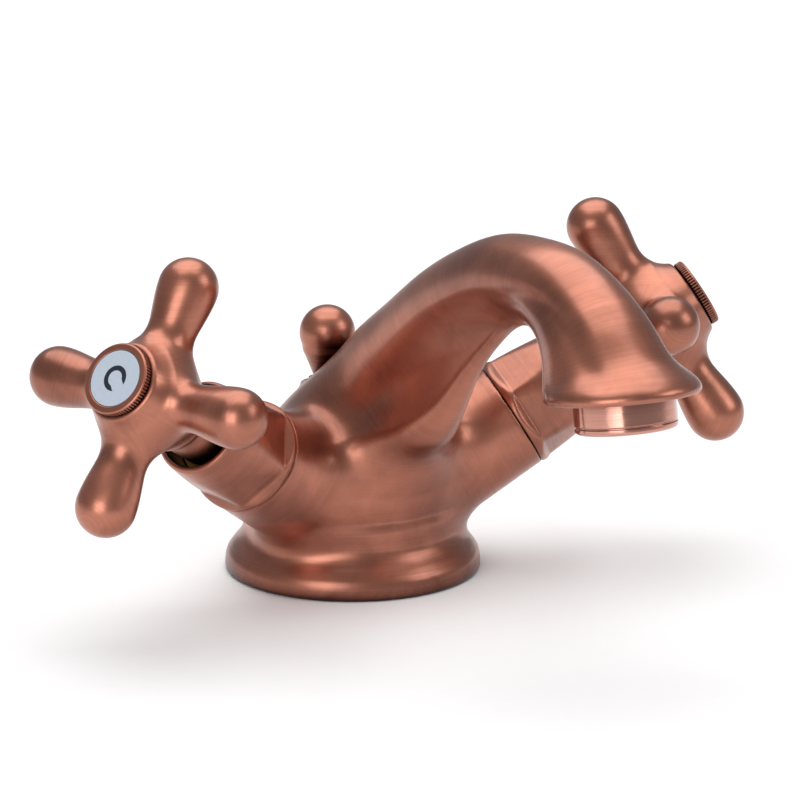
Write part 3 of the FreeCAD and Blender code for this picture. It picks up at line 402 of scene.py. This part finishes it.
def crossField(x, y, z):
    c = cross
    reach = np.hypot(x, y)
    hub = np.maximum(reach - np.interp(z, *np.array(c["hub"]).T), np.maximum(z - c["hubTop"], -11 - z))
    skirt = np.maximum(reach - c["skirt"], np.maximum(z - 2, c["skirtEnd"] - z))
    body = softJoin(hub, skirt, 4)
    for across, along in ((x, y), (y, x)):
        out = np.abs(across)
        wide = np.hypot(along, z)
        swell = np.clip((out - c["neckReach"]) / (c["armLength"] - c["neckReach"]), 0, 1)
        thin = np.interp(out, [0, c["neckReach"]], [c["foot"], c["neck"]])
        radius = thin + (c["ball"] - c["neck"]) * swell * swell * (3 - 2 * swell)
        ball = np.hypot(wide, out - c["armLength"]) - c["ball"]
        body = softJoin(body, np.where(out > c["armLength"], ball, wide - radius), c["blend"])
    body = softTrim(body, z - c["hubTop"], 0.8)
    for gap in (np.maximum(reach - c["skirtBore"], z - c["hubBack"]),
                np.maximum(reach - c["spindle"], z - c["spindleTop"]),
                reach - c["screw"], np.maximum(reach - c["capBore"], c["capSeat"] - z)):
        body = softTrim(body, -gap, 0.6)
    return body


points, faces = skinOf(crossField, (-36.5, -36.5, -27), (36.5, 36.5, 12),
                       cross["cell"] * (1))
for side, valve in valves.items():
    farOut = np.maximum(np.abs(points[:, 0]), np.abs(points[:, 1]))
    addPiece(side + "_cross", onValve(points, valve, handleStation, cross["rolls"][side]), faces,
             *oneFamily(farOut + 0.6 * points[:, 2]), side + "_handle", "copper_satin", side + "_handle")

# the six-sided valve housings between the arms of the casting and the handles
housing = {
    # station, radius
    "outline": [(47.6, 14.05), (49.2, 14.4), (56, 13.6), (65, 12.3), (69.5, 11.7), (70, 11.6)],
    "flats": 12.5, "flatsFoot": 50.5, "foot": 47.6, "mouth": 70.0, "bore": 11.4, "boreTop": 57.0,
    "collar": 9.95,
    "collarTop": 62.0, "mouthBore": 10.1, "turns": {"cold": -8.0, "hot": 23.0}, "cell": 0.35,
}


def housingField(x, y, z):
    h = housing
    reach = np.hypot(x, y)
    shell = reach - np.interp(z, *np.array(h["outline"]).T)
    flats = None
    for number in range(3):
        turn = math.radians(30 + 60 * number)
        side = (np.abs(x * math.cos(turn) + y * math.sin(turn)) - h["flats"]
                - np.maximum(h["flatsFoot"] - z, 0))
        flats = side if flats is None else softTrim(flats, side, 0.6)
    body = softTrim(softTrim(softTrim(shell, flats, 0.8), z - h["mouth"], 1.1), h["foot"] - z, 0.5)
    for gap in (np.maximum(reach - h["bore"], z - h["boreTop"]), reach - h["collar"],
                np.maximum(reach - h["mouthBore"], h["collarTop"] - z)):
        body = softTrim(body, -gap, 0.5)
    return body


points, faces = skinOf(housingField, (-15, -15, 46.6), (15, 15, 71),
                       housing["cell"] * (1))
for side, valve in valves.items():
    addPiece(side + "_housing", onValve(points, valve, 0, housing["turns"][side]), faces,
             *oneFamily(points[:, 2]), "root", "copper_satin", side + "_valve_housing")

# the index caps: a knurled rim, an eased bezel and a seat for the disc
cap = {"rim": 8.9, "ridges": 72, "ridgeDepth": 0.42, "knurlTop": 13.0, "foot": 11.05, "top": 13.4,
       "seat": 7.08, "seatFloor": 12.4, "stem": 6.4, "stemFoot": 6.5, "cell": 0.15}


def capField(x, y, z):
    c = cap
    reach = np.hypot(x, y)
    groove = (0.5 + 0.5 * np.cos(c["ridges"] * np.arctan2(y, x))) ** 2 * c["ridgeDepth"]
    groove = groove * np.clip((c["knurlTop"] - z) / 0.3, 0, 1)
    body = softTrim(reach - c["rim"] + groove, np.maximum(z - c["top"], c["foot"] - z), 0.7)
    body = np.minimum(body, np.maximum(reach - c["stem"], np.maximum(z - 12, c["stemFoot"] - z)))
    return softTrim(body, -np.maximum(reach - c["seat"], c["seatFloor"] - z), 0.25)


points, faces = skinOf(capField, (-9.2, -9.2, 6.2), (9.2, 9.2, 13.7),
                       cap["cell"] * (1))
for side, valve in valves.items():
    addPiece(side + "_cap", onValve(points, valve, handleStation, cross["rolls"][side]), faces,
             *oneFamily(np.hypot(points[:, 0], points[:, 1])), side + "_handle", "copper_satin",
             side + "_index_cap")

# the aerator's housing, turned from bar and screwed into the lip
aerator = {
    "outline": [(8.8, -7.4), (11.4, -7.4), (11.9, -6.9), (11.9, -6.0), (11.65, -5.85), (11.65, -5.6),
                (11.9, -5.45), (11.9, -0.05), (11.3, -0.05), (11.3, 4.0), (9.6, 4.0), (9.6, -6.4),
                (8.8, -6.4)],
    "edge": 0.25, "segments": 160,
}
points, faces = turnedSkin(aerator["outline"], aerator["edge"], aerator["segments"])
level = np.array([0, outletUp[2], -outletUp[1]])
placed = outlet["centre"] + points @ np.array([[1, 0, 0], level, outletUp])
addPiece("aerator_collar", placed, faces, *oneFamily(points[:, 2]), "root", "copper_polished",
         "aerator_housing")

# the knob of the pop-up waste's lift rod
knob = {"foot": 46.7, "neck": 3.2, "centre": 57.9, "ball": 7.0,
        "shoulder": [(3.7, 47.3), (4.2, 48.6), (4.8, 50.1), (5.5, 51.8), (6.2, 53.4)],
        "bore": 2.55, "boreTop": 53.9, "edge": 0.25, "segments": 120}
ballArc = [(knob["ball"] * math.cos(a), knob["centre"] + knob["ball"] * math.sin(a))
           for a in np.radians(np.linspace(-24, 90, 46))]
outline = [(knob["bore"], knob["foot"]), (knob["neck"], knob["foot"])] + knob["shoulder"] + ballArc[:-1]
outline += [(0, knob["centre"] + knob["ball"]), (0, knob["boreTop"]), (knob["bore"], knob["boreTop"])]
points, faces = turnedSkin(outline, knob["edge"], knob["segments"])
points[:, 1] += casting["rodBack"]
addPiece("rod_knob", points, faces, *oneFamily(points[:, 2]), "lift_rod", "copper_satin", "lift_knob")


# colours are written in hex and turned into the light values that the shaders take
def linear(text):
    value = [int(text[i:i + 2], 16) / 255 for i in (1, 3, 5)]
    return [v / 12.92 if v <= 0.04045 else ((v + 0.055) / 1.055) ** 2.4 for v in value] + [1.0]


def addNode(tree, kind, settings=None, **inputs):
    # a node, its settings and what is put in its sockets: another node's output or a plain value
    made = tree.nodes.new(kind)
    for name, value in (settings or {}).items():
        setattr(made, name, value)
    for name, value in inputs.items():
        socket = made.inputs[int(name[1:])] if name[0] == "_" else made.inputs[name.replace("_", " ")]
        if isinstance(value, bpy.types.NodeSocket):
            tree.links.new(value, socket)
        else:
            socket.default_value = value
    return made


def newMaterial(name):
    material = bpy.data.materials.new(name)
    material.use_nodes = True
    tree = material.node_tree
    tree.nodes.clear()
    return material, tree


def finish(tree, shader):
    output = tree.nodes.new("ShaderNodeOutputMaterial")
    tree.links.new(shader.outputs[0], output.inputs["Surface"])


def antiqueCopper(name, look):
    # brass castings, copper-plated, darkened, brushed and lacquered: warm on rounds, brown in hollows; that brown,
    # laid by an occlusion mask into hollows, undersides and gaps, is partly patina and partly painted shade
    material, tree = newMaterial(name)
    place = addNode(tree, "ShaderNodeTexCoord").outputs["Object"]
    at = addNode(tree, "ShaderNodeSeparateXYZ", None, _0=addNode(
        tree, "ShaderNodeAttribute", {"attribute_name": "strokeAt"}).outputs["Vector"])
    share = addNode(tree, "ShaderNodeSeparateXYZ", None, _0=addNode(
        tree, "ShaderNodeAttribute", {"attribute_name": "strokeShare"}).outputs["Vector"])
    slow = addNode(tree, "ShaderNodeVectorMath", {"operation": "SCALE"}, _0=place,
                   Scale=1000 / look["strokeLength"])
    parts = addNode(tree, "ShaderNodeSeparateXYZ", None, _0=slow.outputs[0])
    level = addNode(tree, "ShaderNodeMath", {"operation": "ADD"}, _0=parts.outputs[0], _1=parts.outputs[1])
    total = None
    for family in range(3):
        fast = addNode(tree, "ShaderNodeMath", {"operation": "DIVIDE"}, _0=at.outputs[family],
                       _1=look["strokeWidth"])
        where = addNode(tree, "ShaderNodeCombineXYZ", None, _0=fast.outputs[0], _1=level.outputs[0],
                        _2=parts.outputs[2])
        grain = addNode(tree, "ShaderNodeTexNoise", None, Vector=where.outputs[0], Scale=1.0, Detail=3.0,
                        Roughness=0.6)
        part = addNode(tree, "ShaderNodeMath", {"operation": "MULTIPLY"}, _0=grain.outputs["Fac"],
                       _1=share.outputs[family])
        total = part if total is None else addNode(
            tree, "ShaderNodeMath", {"operation": "ADD"}, _0=total.outputs[0], _1=part.outputs[0])
    cloud = addNode(tree, "ShaderNodeTexNoise", None, Vector=place, Scale=1000 / look["cloudSize"],
                    Detail=4.0, Roughness=0.55, Distortion=0.6)
    # painted shade: an ambient-occlusion mask pulls the colour towards brown in hollows, undersides and gaps,
    # standing partly for patina in recesses and partly for shade that falls there
    hollow = addNode(tree, "ShaderNodeAmbientOcclusion", {"samples": 6}, Distance=look["hollowReach"] * mm)
    deep = addNode(tree, "ShaderNodeMapRange", None, _0=hollow.outputs["AO"], _1=0.25, _2=0.95, _3=1.0,
                   _4=0.0)
    worn = addNode(tree, "ShaderNodeMapRange", None, _0=cloud.outputs["Fac"], _1=0.35, _2=0.7, _3=0.0,
                   _4=look["cloudShare"])
    # painted shade from the occlusion mask added to blotches of random tone
    shadeAndBlotches = addNode(tree, "ShaderNodeMath", {"operation": "ADD", "use_clamp": True}, _0=deep.outputs[0],
                   _1=worn.outputs[0])
    line = addNode(tree, "ShaderNodeMapRange", None, _0=total.outputs[0], _1=0.35, _2=0.65,
                   _3=-look["strokeShade"], _4=look["strokeShade"])
    darker = addNode(tree, "ShaderNodeMath", {"operation": "ADD", "use_clamp": True}, _0=shadeAndBlotches.outputs[0],
                     _1=line.outputs[0])
    colour = addNode(tree, "ShaderNodeMix", {"data_type": "RGBA"}, _0=darker.outputs[0])
    colour.inputs[6].default_value = linear(look["bright"])
    colour.inputs[7].default_value = linear(look["brown"])
    rough = addNode(tree, "ShaderNodeMapRange", None, _0=total.outputs[0], _1=0.3, _2=0.7,
                    _3=look["roughness"] - look["roughSwing"], _4=look["roughness"] + look["roughSwing"])
    bump = addNode(tree, "ShaderNodeBump", None, Height=total.outputs[0], Strength=look["strokeBump"],
                   Distance=look["strokeDepth"] * mm)
    shader = addNode(tree, "ShaderNodeBsdfPrincipled", None, Base_Color=colour.outputs[2], Metallic=1.0,
                     Roughness=rough.outputs[0], Normal=bump.outputs[0], Coat_Weight=look["lacquer"],
                     Coat_Roughness=look["lacquerRough"])
    finish(tree, shader)
    return material


def plainSurface(name, look):
    # one substance with a fine even grain: its size, shade and relief say how it was made
    material, tree = newMaterial(name)
    place = addNode(tree, "ShaderNodeTexCoord").outputs["Object"]
    grain = addNode(tree, "ShaderNodeTexNoise", None, Vector=place, Scale=1000 / look["grain"], Detail=3.0)
    colour = addNode(tree, "ShaderNodeMix", {"data_type": "RGBA"}, _0=grain.outputs["Fac"])
    colour.inputs[6].default_value = linear(look["low"])
    colour.inputs[7].default_value = linear(look["high"])
    bump = addNode(tree, "ShaderNodeBump", None, Height=grain.outputs["Fac"], Strength=0.3,
                   Distance=look["relief"] * mm)
    shader = addNode(tree, "ShaderNodeBsdfPrincipled", None, Base_Color=colour.outputs[2],
                     Metallic=look["metallic"], Roughness=look["roughness"], Normal=bump.outputs[0])
    finish(tree, shader)
    return material


materials = {
    # the castings: soft highlights broken by fine strokes; the brown mixed in by the occlusion mask is partly
    # patina and partly painted shade
    "copper_satin": antiqueCopper("antiqueCopperBrushed", {
        "bright": "#b5745e", "brown": "#3c1a13", "roughness": 0.37, "roughSwing": 0.03, "strokeLength": 14.0,
        "strokeWidth": 0.3, "strokeShade": 0.06, "strokeBump": 0.08, "strokeDepth": 0.02, "cloudSize": 24.0,
        "cloudShare": 0.5, "hollowReach": 12.0, "lacquer": 0.35, "lacquerRough": 0.2}),
    # the collar of the aerator: pinker and shinier, so it shows its surroundings; its brown from the occlusion
    # mask is partly patina and partly painted shade
    "copper_polished": antiqueCopper("antiqueCopperPolished", {
        "bright": "#c89080", "brown": "#84503f", "roughness": 0.16, "roughSwing": 0.04, "strokeLength": 20.0,
        "strokeWidth": 0.4, "strokeShade": 0.1, "strokeBump": 0.1, "strokeDepth": 0.02, "cloudSize": 20.0,
        "cloudShare": 0.15, "hollowReach": 4.0, "lacquer": 0.4, "lacquerRough": 0.08}),
    # turned brass seen only in the gaps: dull yellow, darkened partly as oxidised brass and partly as painted
    # shade of the gaps it sits in
    "valve_brass": plainSurface("machinedBrass", {
        "low": "#7a6136", "high": "#8f7443", "metallic": 1.0, "roughness": 0.34,
        "grain": 0.4, "relief": 0.01}),
    # ceramic discs: flat, pale and smooth
    "valve_ceramic": plainSurface("lappedAlumina", {
        "low": "#e4e1d8", "high": "#efece4", "metallic": 0.0, "roughness": 0.18,
        "grain": 0.3, "relief": 0.002}),
    # O-rings and gaskets: matt black
    "seal_rubber": plainSurface("mouldedRubber", {
        "low": "#161616", "high": "#222222", "metallic": 0.0, "roughness": 0.6,
        "grain": 0.5, "relief": 0.01}),
    # screws, rod and clips: cool grey with a soft shine
    "steel": plainSurface("stainlessSteel", {
        "low": "#a9abad", "high": "#c3c5c7", "metallic": 1.0, "roughness": 0.3,
        "grain": 0.4, "relief": 0.01}),
    # pale blue-grey disc with a soft shine
    "index_enamel": plainSurface("mouldedIndexDisc", {
        "low": "#adb7c4", "high": "#b6c0cc", "metallic": 0.0, "roughness": 0.25,
        "grain": 0.8, "relief": 0.003}),
    # navy paint filled into the disc
    "index_ink": plainSurface("filledLetter", {
        "low": "#131a26", "high": "#1b2431", "metallic": 0.0, "roughness": 0.35,
        "grain": 0.5, "relief": 0.003}),
    # off-white insert of the aerator
    "insert_plastic": plainSurface("mouldedAcetal", {
        "low": "#dcdcd8", "high": "#e8e8e4", "metallic": 0.0, "roughness": 0.45,
        "grain": 0.6, "relief": 0.005}),
}
slots = {part["node"]: part["material_slot"] for part in frame["record"]["subparts"]}
for name, piece in nodes.items():
    piece.data.materials.clear()
    piece.data.materials.append(materials[slots[name]])
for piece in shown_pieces():
    if piece.name not in nodes and piece.get("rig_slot") in materials:
        piece.data.materials.clear()
        piece.data.materials.append(materials[piece["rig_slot"]])
print("materials done")

# the view, three soft lamps and a white card to stand on
camera = {"azimuth": -31.514, "elevation": 14.966, "away": 1207.7, "lens": 218.04,
          "target": (9.41, -7.40, 43.40)}
eye = bpy.data.objects.new("camera", bpy.data.cameras.new("camera"))
bpy.context.scene.collection.objects.link(eye)
turnA, turnE = math.radians(camera["azimuth"]), math.radians(camera["elevation"])
back = Vector((math.sin(turnA) * math.cos(turnE), -math.cos(turnA) * math.cos(turnE), math.sin(turnE)))
eye.location = (Vector(camera["target"]) + back * camera["away"]) * mm
eye.rotation_mode = "QUATERNION"
eye.rotation_quaternion = (-back).to_track_quat("-Z", "Y")
eye.data.lens = camera["lens"]
eye.data.clip_end = 20
bpy.context.scene.camera = eye

softboxes = {  # place, size, brightness
    "overhead": ((0.15, 0.35, 1.5), 1.9, 2.25),
    "left": ((-1.15, -0.85, 0.45), 0.9, 3.4),
    "right": ((1.0, -1.05, 0.85), 0.8, 2.8),
}
for name, (place, size, bright) in softboxes.items():
    lamp = bpy.data.objects.new(name, bpy.data.lights.new(name, "AREA"))
    lamp.data.size = size
    lamp.data.energy = math.pi * size * size * bright
    lamp.location = place
    lamp.rotation_euler = (Vector((0, 0, 0.05)) - Vector(place)).to_track_quat("-Z", "Y").to_euler()
    bpy.context.scene.collection.objects.link(lamp)

floorMesh = bpy.data.meshes.new("floor")
floorMesh.from_pydata([(-4, -4, 0), (4, -4, 0), (4, 4, 0), (-4, 4, 0)], [], [(0, 1, 2, 3)])
floor = bpy.data.objects.new("floor", floorMesh)
bpy.context.scene.collection.objects.link(floor)
floorMesh.materials.append(plainSurface("whiteCard", {
    "low": "#f7f7f7", "high": "#fafafa", "metallic": 0.0, "roughness": 0.9,
        "grain": 4.0, "relief": 0.001}))
world = bpy.data.worlds.new("studio")
bpy.context.scene.world = world
world.use_nodes = True
world.node_tree.nodes["Background"].inputs[0].default_value = (0.34, 0.34, 0.35, 1)
bpy.context.scene.view_settings.view_transform = "Standard"
